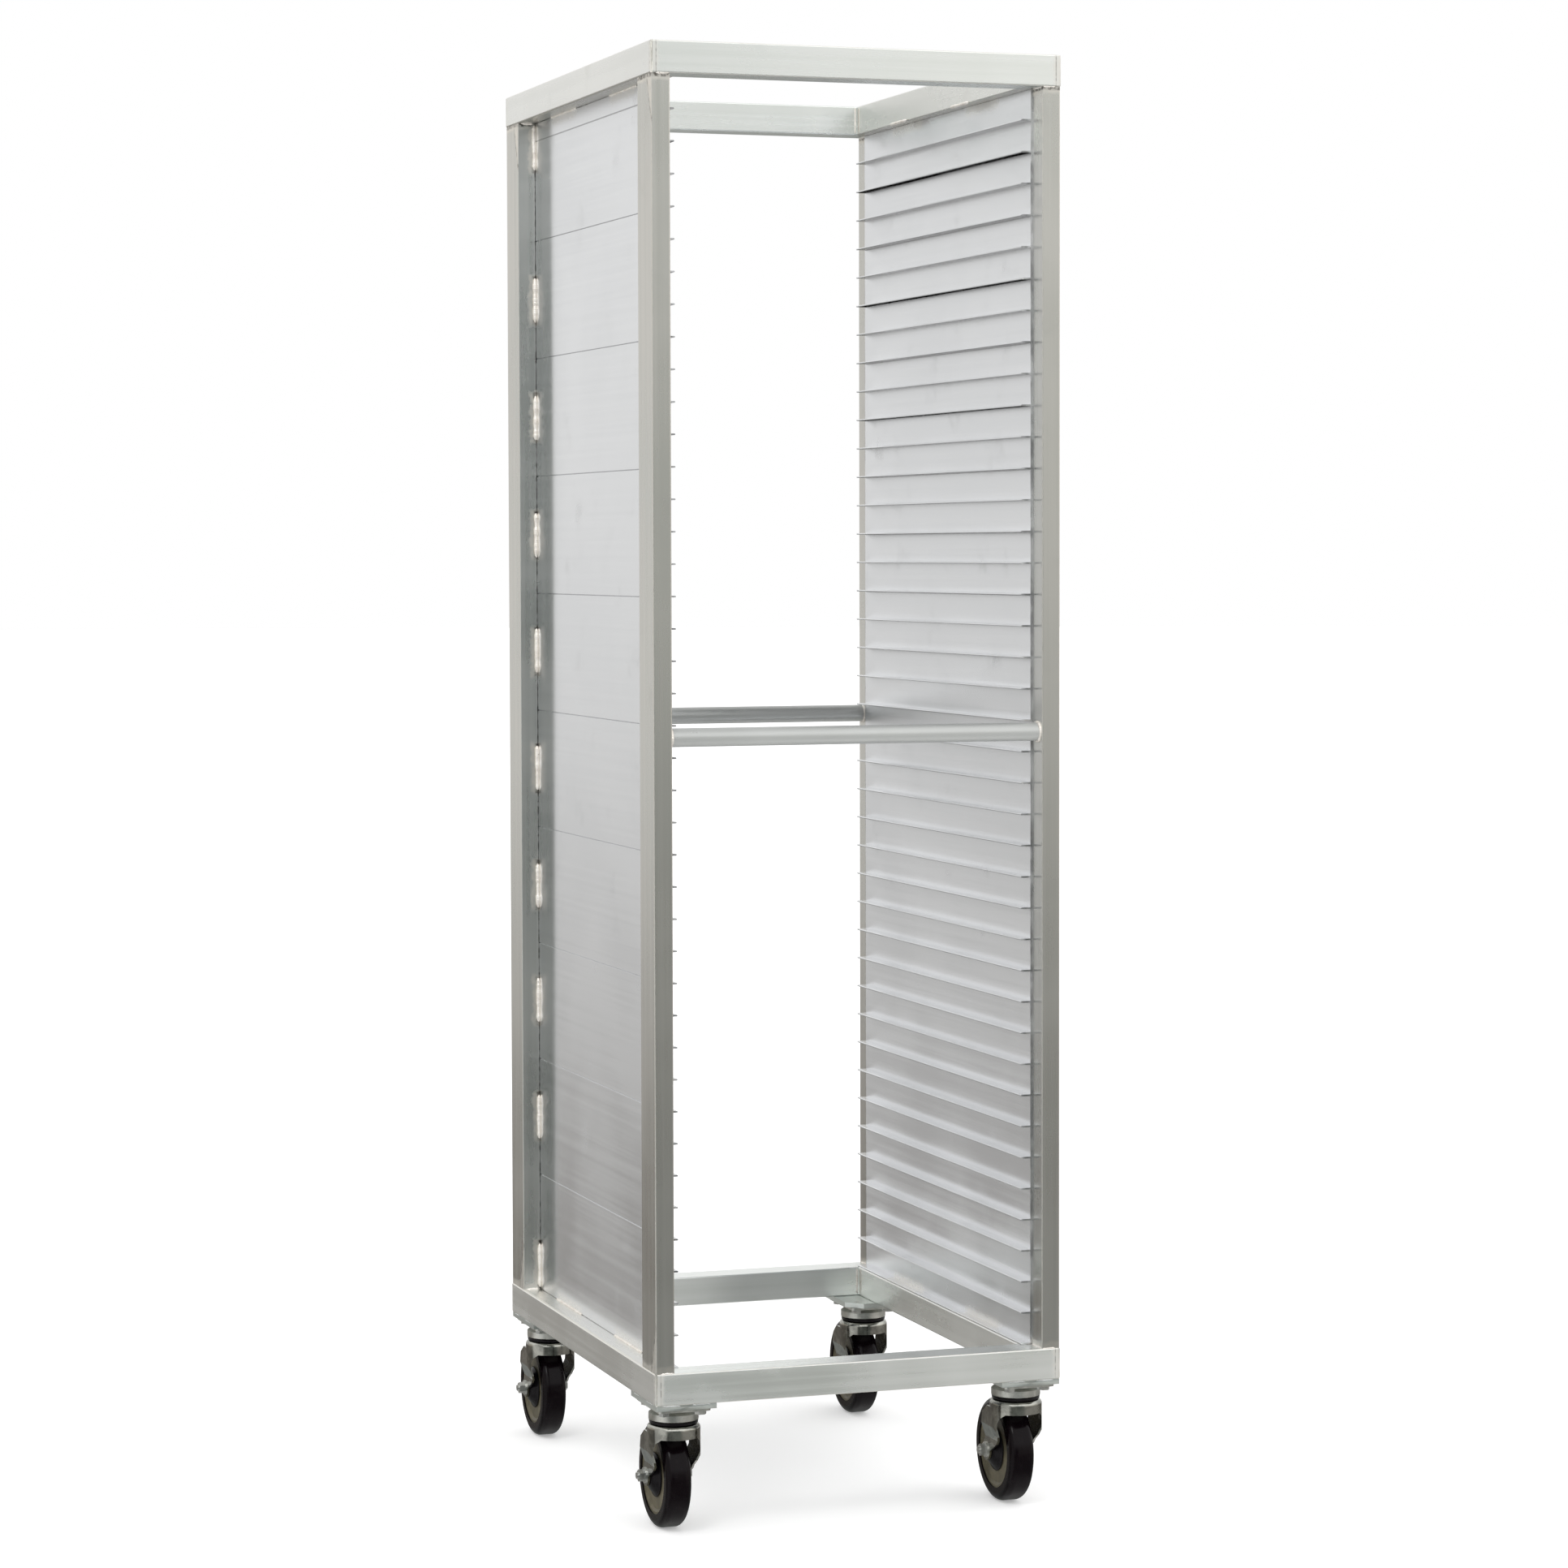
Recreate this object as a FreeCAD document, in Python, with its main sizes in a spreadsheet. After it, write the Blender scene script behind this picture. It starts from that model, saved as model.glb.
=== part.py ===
import FreeCAD, Part
import Sketcher
import math
import os
import re

# Welded aluminium rack for full-size sheet pans, on four swivel casters.
# Units are millimetres. X runs along the front, Y from front to back, Z up.
# The origin is on the floor, under the middle of the space that the whole rack takes up,
# rear wheels included: they trail out behind the frame.

doc = FreeCAD.newDocument("sheet_pan_rack")
sheet = doc.addObject("Spreadsheet::Sheet", "Sheet")

DRIVING_SIZES = [
    ("rack_width", 514.35), ("rack_depth", 660.4), ("caster_height", 163.5),
    ("rail_height", 38.1), ("rail_depth", 40.0), ("rail_wall", 2.4), ("rail_round", 1.8),
    ("weld_notch", 2.5),
    ("upright_width", 23.0), ("upright_depth", 57.0), ("upright_setback", 1.0),
    ("upright_wall", 2.0), ("upright_round", 1.5),
    ("ledge_pitch", 38.1), ("ledges_per_plank", 4), ("planks_per_side", 10),
    ("plank_thickness", 2.4), ("plank_inset", 32.0), ("plank_chamfer", 0.7),
    ("ledge_reach", 12.0), ("ledge_thickness", 2.0), ("ledge_round", 0.9),
    ("bar_radius", 11.1), ("bar_wall", 1.6), ("bar_setback", 15.0), ("bar_rise", 788.0),
    ("corner_width", 76.0), ("corner_depth", 106.0), ("corner_thickness", 6.4), ("corner_clip", 20.0),
    ("corner_margin", 1.2),
    ("swivel_inset_x", 38.0), ("swivel_inset_y", 52.0), ("swivel_trail", 36.0),
    ("plate_width", 66.0), ("plate_depth", 96.0), ("plate_thickness", 3.2), ("plate_round", 7.0),
    ("bolt_spacing_x", 44.5), ("bolt_spacing_y", 73.0), ("bolt_radius", 3.9),
    ("bolt_head_radius", 7.2), ("bolt_head_height", 5.2),
    ("race_radius", 30.0), ("race_neck_radius", 25.0), ("race_height", 18.4), ("race_gap", 2.5),
    ("race_neck", 4.5), ("race_flare", 8.0), ("race_edge", 15.6), ("race_lip", 3.0),
    ("pin_radius", 6.0), ("pin_clearance", 0.05), ("pin_head_radius", 11.0), ("pin_head_height", 3.0),
    ("fork_inner", 45.0), ("fork_metal", 2.6), ("fork_radius", 32.0), ("fork_boss_radius", 13.0),
    ("fork_bend", 5.5), ("fork_skirt", 16.2), ("arch_round_y", 5.0), ("arch_round_z", 12.5),
    ("waist_top_drop", 34.0), ("waist_low_drop", 52.0),
    ("leg_shoulder_y", 14.0), ("leg_shoulder_drop", 30.0), ("leg_knee_y", 9.0), ("leg_knee_drop", 46.0),
    ("leg_shin_y", 1.0), ("leg_shin_drop", 57.0), ("leg_back_y", 31.0), ("leg_back_drop", 20.0),
    ("leg_heel_y", 38.0), ("leg_heel_drop", 52.0), ("crown_rim", 10.0), ("crown_side_y", 16.0),
    ("wheel_radius", 63.5), ("wheel_width", 31.75), ("tread_round", 9.0), ("core_radius", 47.5),
    ("core_width", 28.0), ("core_dish", 2.5), ("core_step", 6.0), ("core_lip", 3.0),
    ("hub_radius", 14.0), ("hub_width", 41.0),
    ("axle_radius", 3.97), ("axle_clearance", 0.05), ("axle_head_radius", 7.4),
    ("axle_head_height", 5.4), ("axle_nut_height", 6.8), ("axle_tail", 2.4),
    ("axle_washer_radius", 9.5), ("axle_washer_thickness", 1.6),
]

for row, (alias, value) in enumerate(DRIVING_SIZES, start=1):
    sheet.set(f"A{row}", alias)
    sheet.set(f"B{row}", str(value))
    sheet.setAlias(f"B{row}", alias)

DERIVED_SIZES = [
    ("upright_height", "ledge_pitch * ledges_per_plank * planks_per_side"),
    ("plank_height", "ledge_pitch * ledges_per_plank"),
    ("plank_seat", "upright_width + upright_setback"),
    ("plank_length", "rack_depth - 2 * plank_inset"),
    ("top_rail_base", "caster_height + rail_height + upright_height"),
    ("plate_base", "caster_height - corner_thickness - plate_thickness"),
    ("race_base", "plate_base - race_height"),
    ("crown_top", "race_base - race_gap"),
    ("fork_outer", "fork_inner + 2 * fork_metal"),
    ("fork_back", "swivel_trail + fork_boss_radius"),
    ("waist_top", "crown_top - waist_top_drop"),
    ("waist_low", "crown_top - waist_low_drop"),
    ("wheel_overhang", "wheel_radius + swivel_trail - swivel_inset_y"),
    ("front_face", "-(rack_depth + wheel_overhang) / 2"),
    ("rear_face", "(rack_depth - wheel_overhang) / 2"),
    ("middle_depth", "-wheel_overhang / 2"),
]

for row, (alias, formula) in enumerate(DERIVED_SIZES, start=len(DRIVING_SIZES) + 1):
    sheet.set(f"A{row}", alias)
    sheet.set(f"B{row}", "=" + formula)
    sheet.setAlias(f"B{row}", alias)
doc.recompute()

X_AXIS = FreeCAD.Vector(1, 0, 0)
Y_AXIS = FreeCAD.Vector(0, 1, 0)
Z_AXIS = FreeCAD.Vector(0, 0, 1)
CORNERS = [("front_left", -1, -1), ("front_right", 1, -1), ("rear_left", -1, 1), ("rear_right", 1, 1)]
HEXAGON = 6
BOSS_STEPS = 12
TOUCHING = 0.01
SKETCH_GUESS = 50.0
nodes = []


def size(alias):
    """The present value of one cell of the sheet."""
    return float(sheet.get(alias))


def cells(formula):
    """A formula on plain aliases, written as an expression on the sheet."""
    return re.sub(r"[a-z][a-z_]+", lambda word: "Sheet." + word.group(), formula)


def bind(thing, **formulas):
    """Bind properties of an object to formulas on the sheet."""
    for name, formula in formulas.items():
        thing.setExpression(name, cells(formula))
    return thing


def place(thing, x="0", y="0", z="0", axis=Z_AXIS, turn=0):
    """Turn an object about an axis through its own origin and move it to a place on the sheet."""
    thing.Placement = FreeCAD.Placement(FreeCAD.Vector(), FreeCAD.Rotation(axis, turn))
    for letter, formula in (("x", x), ("y", y), ("z", z)):
        thing.setExpression(f".Placement.Base.{letter}", cells(formula))
    return thing


def node(thing, label):
    """Name an object and count it as a sub-part of the rack."""
    thing.Label = label
    nodes.append(thing)
    return thing


def new_body(label):
    body = doc.addObject("PartDesign::Body", label)
    return node(body, label)


def new_sketch(body, name, plane, offset=None):
    """An empty sketch on one of the body's own origin planes, moved along the plane's normal."""
    sketch = body.newObject("Sketcher::SketchObject", name)
    support = [f for f in body.Origin.OriginFeatures if f.Role == plane][0]
    sketch.AttachmentSupport = (support, [""])
    sketch.MapMode = "FlatFace"
    if offset:
        sketch.setExpression(".AttachmentOffset.Base.z", cells(offset))
    return sketch


def pin_point(sketch, edge, end, x, y):
    """Tie one point of a sketch to the sketch's origin by two distances from the sheet."""
    for kind, formula in (("DistanceX", x), ("DistanceY", y)):
        index = sketch.addConstraint(Sketcher.Constraint(kind, -1, 1, edge, end, 1.0))
        sketch.setExpression(f"Constraints[{index}]", cells(formula))


def add_outline(sketch, points):
    """A closed outline of straight lines through points given as pairs of formulas."""
    first = sketch.GeometryCount
    count = len(points)
    guess = [FreeCAD.Rotation(Z_AXIS, 360.0 * i / count).multVec(X_AXIS * SKETCH_GUESS)
             for i in range(count)]
    for i in range(count):
        sketch.addGeometry(Part.LineSegment(guess[i], guess[(i + 1) % count]), False)
    for i in range(count):
        following = first + (i + 1) % count
        sketch.addConstraint(Sketcher.Constraint("Coincident", first + i, 2, following, 1))
    for i, (x, y) in enumerate(points):
        pin_point(sketch, first + i, 1, x, y)


def add_rectangle(sketch, x_low, x_high, y_low, y_high):
    add_outline(sketch, [(x_low, y_low), (x_high, y_low), (x_high, y_high), (x_low, y_high)])


def add_circle(sketch, x, y, radius):
    index = sketch.addGeometry(Part.Circle(FreeCAD.Vector(1, 1, 0), Z_AXIS, 1.0), False)
    pin_point(sketch, index, 3, x, y)
    constraint = sketch.addConstraint(Sketcher.Constraint("Radius", index, 1.0))
    sketch.setExpression(f"Constraints[{constraint}]", cells(radius))


def pad(body, sketch, length, reverse=False, midplane=False):
    feature = body.newObject("PartDesign::Pad", sketch.Name + "_pad")
    feature.Profile = sketch
    feature.Reversed = reverse
    feature.Midplane = midplane
    feature.setExpression("Length", cells(length))
    doc.recompute()
    return feature


def pocket(body, sketch, length):
    """A pocket cut both ways from its sketch. It has to take material away."""
    before = body.Shape.Volume
    feature = body.newObject("PartDesign::Pocket", sketch.Name + "_pocket")
    feature.Profile = sketch
    feature.Midplane = True
    feature.setExpression("Length", cells(length))
    doc.recompute()
    if body.Shape.Volume >= before:
        raise RuntimeError(f"{sketch.Name} cut nothing")
    return feature


def revolve(body, sketch, axis):
    feature = body.newObject("PartDesign::Revolution", sketch.Name + "_turned")
    feature.Profile = sketch
    feature.ReferenceAxis = (sketch, [axis])
    feature.Angle = 360
    doc.recompute()
    return feature


def dress(body, kind, amount, wanted):
    """Fillet or chamfer the edges of the body's last feature for which wanted(edge) is true."""
    base = body.Tip
    names = [f"Edge{i}" for i, edge in enumerate(base.Shape.Edges, start=1) if wanted(edge)]
    feature = body.newObject("PartDesign::" + kind, f"{body.Name}_{kind.lower()}")
    feature.Base = (base, names)
    feature.setExpression("Radius" if kind == "Fillet" else "Size", cells(amount))
    doc.recompute()
    return feature


def runs_along(edge, axis):
    """True for a straight edge parallel to an axis."""
    if not isinstance(edge.Curve, Part.Line):
        return False
    return abs(abs(edge.Curve.Direction.dot(axis)) - 1.0) < 1e-6


def near(value, target):
    return abs(value - target) < TOUCHING


# ---------------------------------------------------------------- frame rails and uprights

def rail(label, length, x, y, z, turn):
    """A rectangular tube mitred at both ends; its long face lies on local y = 0.

    The mitre's tips are cut back, which leaves a square notch for the weld at the frame's corner.
    """
    body = new_body(label)
    plan = new_sketch(body, label + "_plan", "XY_Plane")
    add_outline(plan, [("weld_notch", "0"), (length + " - weld_notch", "0"),
                       (length + " - weld_notch", "weld_notch"),
                       (length + " - rail_depth", "rail_depth"), ("rail_depth", "rail_depth"),
                       ("weld_notch", "weld_notch")])
    pad(body, plan, "rail_height")
    bore = new_sketch(body, label + "_bore", "YZ_Plane")
    add_rectangle(bore, "rail_wall", "rail_depth - rail_wall", "rail_wall", "rail_height - rail_wall")
    pocket(body, bore, "3 * " + length)
    depth = size("rail_depth")
    height = size("rail_height")

    def outer_long_edge(edge):
        middle = edge.CenterOfMass
        on_side = near(middle.y, 0) or near(middle.y, depth)
        on_top = near(middle.z, 0) or near(middle.z, height)
        return runs_along(edge, X_AXIS) and on_side and on_top

    dress(body, "Fillet", "rail_round", outer_long_edge)
    place(body, x, y, z, Z_AXIS, turn)


def rail_frame(level, base):
    """Four mitred rails that make one rectangular frame."""
    rail(level + "_front_rail", "rack_width", "-rack_width / 2", "front_face", base, 0)
    rail(level + "_rear_rail", "rack_width", "rack_width / 2", "rear_face", base, 180)
    rail(level + "_left_rail", "rack_depth", "-rack_width / 2", "rear_face", base, -90)
    rail(level + "_right_rail", "rack_depth", "rack_width / 2", "front_face", base, 90)


def upright(label, side, end):
    """A corner post: rectangular tube between the two frames, set back a little from their faces."""
    body = new_body(label)
    section = new_sketch(body, label + "_section", "XY_Plane")
    add_rectangle(section, "0", "upright_width", "0", "upright_depth")
    add_rectangle(section, "upright_wall", "upright_width - upright_wall",
                  "upright_wall", "upright_depth - upright_wall")
    pad(body, section, "upright_height")
    width = size("upright_width")
    depth = size("upright_depth")

    def outer_corner(edge):
        middle = edge.CenterOfMass
        on_side = near(middle.x, 0) or near(middle.x, width)
        on_end = near(middle.y, 0) or near(middle.y, depth)
        return runs_along(edge, Z_AXIS) and on_side and on_end

    dress(body, "Fillet", "upright_round", outer_corner)
    x = "-rack_width / 2 + upright_setback" if side < 0 else "rack_width / 2 - plank_seat"
    y = "front_face + upright_setback" if end < 0 else "rear_face - upright_setback - upright_depth"
    place(body, x, y, "caster_height + rail_height")


# ---------------------------------------------------------------- ledge planks and cross bars

def plank(label, side, level):
    """An extruded side plank with its pan ledges; local x = 0 is the outer face."""
    body = new_body(label)
    web = new_sketch(body, label + "_web", "XZ_Plane")
    add_rectangle(web, "0", "plank_thickness", "0", "plank_height")
    pad(body, web, "plank_length", midplane=True)
    shelf = new_sketch(body, label + "_shelf", "XZ_Plane")
    add_rectangle(shelf, "plank_thickness / 2", "plank_thickness + ledge_reach", "0", "ledge_thickness")
    ledge = pad(body, shelf, "plank_length", midplane=True)
    ledges = body.newObject("PartDesign::LinearPattern", label + "_ledges")
    ledges.Originals = [ledge]
    ledges.Direction = (shelf, ["V_Axis"])
    ledges.setExpression("Length", cells("plank_height - ledge_pitch"))
    ledges.setExpression("Occurrences", cells("ledges_per_plank"))
    body.Tip = ledges
    doc.recompute()
    tip = size("plank_thickness") + size("ledge_reach")

    def ledge_tip(edge):
        return runs_along(edge, Y_AXIS) and near(edge.CenterOfMass.x, tip)

    def outer_rim(edge):
        return runs_along(edge, Y_AXIS) and near(edge.CenterOfMass.x, 0)

    dress(body, "Fillet", "ledge_round", ledge_tip)
    dress(body, "Chamfer", "plank_chamfer", outer_rim)
    x = f"{side} * (rack_width / 2 - plank_seat)"
    z = f"caster_height + rail_height + {level} * plank_height"
    place(body, x, "middle_depth", z, Z_AXIS, 0 if side < 0 else 180)


def tube_part(name, radius, length):
    """A plain cylinder along its own z, bound to the sheet."""
    return bind(doc.addObject("Part::Cylinder", name), Radius=radius, Height=length)


def hexagon(name, radius, height):
    """A hexagonal head or nut along its own z."""
    prism = doc.addObject("Part::Prism", name)
    prism.Polygon = HEXAGON
    return bind(prism, Circumradius=radius, Height=height)


def subtract(name, base, tool):
    result = doc.addObject("Part::Cut", name)
    result.Base = base
    result.Tool = tool
    return result


def join(name, *pieces):
    result = doc.addObject("Part::MultiFuse", name)
    result.Shapes = list(pieces)
    return result


def group(label, pieces):
    """Separate solids that share one node."""
    result = doc.addObject("Part::Compound", label)
    result.Links = pieces
    return node(result, label)


def cross_bar(label, end):
    """A round tube between the uprights, at half height."""
    span = "rack_width - 2 * plank_seat"
    outside = tube_part(label + "_outside", "bar_radius", span)
    inside = tube_part(label + "_inside", "bar_radius - bar_wall", span)
    bar = node(subtract(label, outside, inside), label)
    y = "front_face + bar_setback" if end < 0 else "rear_face - bar_setback"
    place(bar, "-rack_width / 2 + plank_seat", y, "caster_height + bar_rise", Y_AXIS, 90)


# ---------------------------------------------------------------- caster mounting

def swivel_x(side):
    return f"{side} * (rack_width / 2 - swivel_inset_x)"


def swivel_y(end):
    return "front_face + swivel_inset_y" if end < 0 else "rear_face - swivel_inset_y"


def corner_plate(label, side, end):
    """A plate welded under a frame corner; local x and y run inwards from the corner."""
    body = new_body(label)
    plan = new_sketch(body, label + "_plan", "XY_Plane")
    add_outline(plan, [("corner_margin", "corner_margin"), ("corner_width", "corner_margin"),
                       ("corner_width", "corner_depth - corner_clip"),
                       ("corner_width - corner_clip", "corner_depth"),
                       ("corner_margin", "corner_depth")])
    pad(body, plan, "corner_thickness", midplane=True)
    holes = new_sketch(body, label + "_holes", "XY_Plane")
    for across in (-1, 1):
        for along in (-1, 1):
            add_circle(holes, f"swivel_inset_x + {across} * bolt_spacing_x / 2",
                       f"swivel_inset_y + {along} * bolt_spacing_y / 2", "bolt_radius")
    pocket(body, holes, "4 * corner_thickness")
    middle = "caster_height - corner_thickness / 2"
    x = f"{side} * rack_width / 2"
    y = "front_face" if end < 0 else "rear_face"
    axis, turn = {(-1, -1): (Z_AXIS, 0), (1, 1): (Z_AXIS, 180),
                  (1, -1): (Y_AXIS, 180), (-1, 1): (X_AXIS, 180)}[(side, end)]
    place(body, x, y, middle, axis, turn)


def caster_plate(label, side, end):
    """The caster's top plate, pressed in one with its neck and its upper ball race."""
    body = new_body(label)
    plan = new_sketch(body, label + "_plan", "XY_Plane")
    add_rectangle(plan, "-plate_width / 2", "plate_width / 2", "-plate_depth / 2", "plate_depth / 2")
    pad(body, plan, "plate_thickness")
    dress(body, "Fillet", "plate_round", lambda edge: runs_along(edge, Z_AXIS))
    holes = new_sketch(body, label + "_holes", "XY_Plane")
    for across in (-1, 1):
        for along in (-1, 1):
            add_circle(holes, f"{across} * bolt_spacing_x / 2", f"{along} * bolt_spacing_y / 2",
                       "bolt_radius")
    pocket(body, holes, "4 * plate_thickness")
    race = new_sketch(body, label + "_race", "XZ_Plane")
    add_outline(race, [("0", "plate_thickness / 2"), ("race_neck_radius", "plate_thickness / 2"),
                       ("race_neck_radius", "-race_neck"), ("race_radius", "-race_flare"),
                       ("race_radius", "-race_edge"), ("race_radius - race_lip", "-race_height"),
                       ("0", "-race_height")])
    revolve(body, race, "V_Axis")
    pin_hole = new_sketch(body, label + "_pin_hole", "XY_Plane")
    add_circle(pin_hole, "0", "0", "pin_radius")
    pocket(body, pin_hole, "4 * race_height")
    place(body, swivel_x(side), swivel_y(end), "plate_base")


def mount_bolts():
    """Hexagon bolts up through each caster plate into its corner plate."""
    bolts = []
    for _, side, end in CORNERS:
        for across in (-1, 1):
            for along in (-1, 1):
                name = f"bolt_{len(bolts) + 1}"
                length = "bolt_head_height + plate_thickness + corner_thickness"
                shank = tube_part(name + "_shank", "bolt_radius", length)
                head = hexagon(name + "_head", "bolt_head_radius", "bolt_head_height")
                x = swivel_x(side) + f" + {across} * bolt_spacing_x / 2"
                y = swivel_y(end) + f" + {along} * bolt_spacing_y / 2"
                bolt = join(name, shank, head)
                bolts.append(place(bolt, x, y, "plate_base - bolt_head_height"))
    group("mount_bolts", bolts)


def kingpins():
    """Riveted pins that hold each fork up to its plate, with a head below the fork's crown."""
    pins = []
    for corner, side, end in CORNERS:
        name = "pin_" + corner
        length = "caster_height - corner_thickness - crown_top + fork_metal + pin_head_height"
        shank = tube_part(name + "_shank", "pin_radius", length + " + pin_clearance")
        head = tube_part(name + "_head", "pin_head_radius", "pin_head_height")
        base = "crown_top - fork_metal - pin_head_height - pin_clearance"
        pins.append(place(join(name, shank, head), swivel_x(side), swivel_y(end), base))
    group("kingpins", pins)


# ---------------------------------------------------------------- casters

def add_round_front(sketch, radius, back):
    """A closed outline with a half circle in front of the origin and straight sides behind it."""
    guess = [FreeCAD.Vector(x, y, 0) * SKETCH_GUESS for x, y in ((1, 0), (1, 1), (-1, 1), (-1, 0))]
    right, rear, left = [sketch.addGeometry(Part.LineSegment(start, stop), False)
                         for start, stop in zip(guess, guess[1:])]
    circle = Part.Circle(FreeCAD.Vector(), Z_AXIS, SKETCH_GUESS)
    front = sketch.addGeometry(Part.ArcOfCircle(circle, math.pi, 2 * math.pi), False)
    sketch.addConstraint([
        Sketcher.Constraint("Coincident", right, 2, rear, 1),
        Sketcher.Constraint("Coincident", rear, 2, left, 1),
        Sketcher.Constraint("Coincident", left, 2, front, 1),
        Sketcher.Constraint("Coincident", front, 2, right, 1),
        Sketcher.Constraint("Coincident", front, 3, -1, 1),
        Sketcher.Constraint("PointOnObject", right, 1, -1),
        Sketcher.Constraint("Vertical", right),
        Sketcher.Constraint("Vertical", left),
        Sketcher.Constraint("Horizontal", rear)])
    reach = sketch.addConstraint(Sketcher.Constraint("Radius", front, SKETCH_GUESS))
    sketch.setExpression(f"Constraints[{reach}]", cells(radius))
    depth = sketch.addConstraint(Sketcher.Constraint("DistanceY", -1, 1, right, 2, SKETCH_GUESS))
    sketch.setExpression(f"Constraints[{depth}]", cells(back))


def both_sides(points):
    """An outline's left half in order, followed by its mirror image back up the right."""
    return [(f"-({x})", z) for x, z in points] + list(reversed(points))


def fork(label, side, end):
    """A pressed fork: a round crown with an arched skirt in front, and two swept legs.

    The legs are wide apart under the crown and close in, below their waist, to the axle's width.
    """
    body = new_body(label)
    crown = new_sketch(body, label + "_crown", "XY_Plane", "crown_top")
    add_circle(crown, "0", "0", "fork_radius")
    pad(body, crown, "crown_rim", reverse=True)
    block = new_sketch(body, label + "_block", "XY_Plane", "crown_top - crown_rim")
    add_round_front(block, "fork_radius", "fork_back")
    pad(body, block, "crown_top - crown_rim - wheel_radius + fork_boss_radius", reverse=True)
    top = size("crown_top")
    dress(body, "Fillet", "fork_bend", lambda edge: near(edge.CenterOfMass.z, top))
    waist = new_sketch(body, label + "_waist", "XZ_Plane")
    for hand in ("-", ""):
        add_outline(waist, [(hand + "fork_radius", "waist_top"), (hand + "fork_outer / 2", "waist_low"),
                            (hand + "fork_outer / 2", "0"), (hand + "2 * fork_radius", "0"),
                            (hand + "2 * fork_radius", "waist_top")])
    pocket(body, waist, "4 * fork_back")
    cavity = new_sketch(body, label + "_cavity", "XY_Plane", "(waist_top + crown_top - fork_metal) / 2")
    add_round_front(cavity, "fork_radius - fork_metal", "2 * fork_back")
    pocket(body, cavity, "crown_top - fork_metal - waist_top")
    arch = new_sketch(body, label + "_arch", "XZ_Plane")
    add_outline(arch, both_sides([("fork_inner / 2", "0"), ("fork_inner / 2", "waist_low"),
                                  ("fork_radius - fork_metal", "waist_top"),
                                  ("fork_radius - fork_metal", "crown_top - fork_skirt - arch_round_z"),
                                  ("fork_inner / 2 + arch_round_y", "crown_top - fork_skirt - arch_round_y"),
                                  ("fork_inner / 2", "crown_top - fork_skirt")]))
    pocket(body, arch, "4 * fork_back")
    legs = new_sketch(body, label + "_legs", "YZ_Plane")
    add_rectangle(legs, "-2 * fork_radius", "2 * fork_back", "0", "2 * crown_top")
    boss = [(f"swivel_trail + {-math.cos(turn):.4f} * fork_boss_radius",
             f"wheel_radius + {-math.sin(turn):.4f} * fork_boss_radius")
            for turn in (math.pi * step / BOSS_STEPS for step in range(BOSS_STEPS + 1))]
    add_outline(legs, [("-fork_radius", "crown_top"), ("-fork_radius", "crown_top - fork_skirt"),
                       ("-leg_shoulder_y", "crown_top - leg_shoulder_drop"),
                       ("-leg_knee_y", "crown_top - leg_knee_drop"),
                       ("leg_shin_y", "crown_top - leg_shin_drop"), *boss,
                       ("leg_heel_y", "crown_top - leg_heel_drop"),
                       ("leg_back_y", "crown_top - leg_back_drop"),
                       ("crown_side_y", "crown_top - crown_rim"),
                       ("2 * fork_radius", "crown_top - crown_rim"), ("2 * fork_radius", "crown_top")])
    pocket(body, legs, "4 * fork_radius")
    pin_hole = new_sketch(body, label + "_pin_hole", "XY_Plane", "crown_top")
    add_circle(pin_hole, "0", "0", "pin_radius + pin_clearance")
    pocket(body, pin_hole, "6 * fork_metal")
    axle_hole = new_sketch(body, label + "_axle_hole", "YZ_Plane")
    add_circle(axle_hole, "swivel_trail", "wheel_radius", "axle_radius")
    pocket(body, axle_hole, "2 * fork_outer")
    place(body, swivel_x(side), swivel_y(end))


def wheel_y(end):
    return swivel_y(end) + " + swivel_trail"


def axle(corner, side, end):
    """The axle bolt across the fork, with its washers and its nut on the left."""
    name = "axle_" + corner
    washers = "2 * axle_washer_thickness"
    length = f"fork_outer + {washers} + axle_head_height + axle_nut_height + axle_tail"
    shank = tube_part(name + "_shank", "axle_radius", length)
    nut = hexagon(name + "_nut", "axle_head_radius", "axle_nut_height")
    head = hexagon(name + "_head", "axle_head_radius", "axle_head_height")
    pieces = [shank, place(nut, z="axle_tail"),
              place(head, z=f"fork_outer + {washers} + axle_nut_height + axle_tail")]
    for part, base in (("nut_washer", "axle_tail + axle_nut_height"),
                       ("head_washer", "axle_tail + axle_nut_height + axle_washer_thickness + fork_outer")):
        washer = tube_part(f"{name}_{part}", "axle_washer_radius", "axle_washer_thickness")
        pieces.append(place(washer, z=base))
    bolt = node(join(name, *pieces), name)
    x = swivel_x(side) + " - fork_outer / 2 - axle_washer_thickness - axle_nut_height - axle_tail"
    place(bolt, x, wheel_y(end), "wheel_radius", Y_AXIS, 90)


def wheel_core(label, side, end):
    """The wheel's moulded centre: hub, dished web and the seat for its tyre."""
    body = new_body(label)
    section = new_sketch(body, label + "_section", "XZ_Plane")
    half = [("hub_width / 2", "axle_radius + axle_clearance"), ("hub_width / 2", "hub_radius"),
            ("core_width / 2 - core_dish", "hub_radius + core_step"),
            ("core_width / 2 - core_dish", "core_radius - core_step"),
            ("core_width / 2", "core_radius - core_lip"), ("core_width / 2", "core_radius")]
    mirrored = [(f"-({x})", y) for x, y in reversed(half)]
    add_outline(section, half + mirrored)
    revolve(body, section, "H_Axis")
    place(body, swivel_x(side), wheel_y(end), "wheel_radius")


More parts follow.
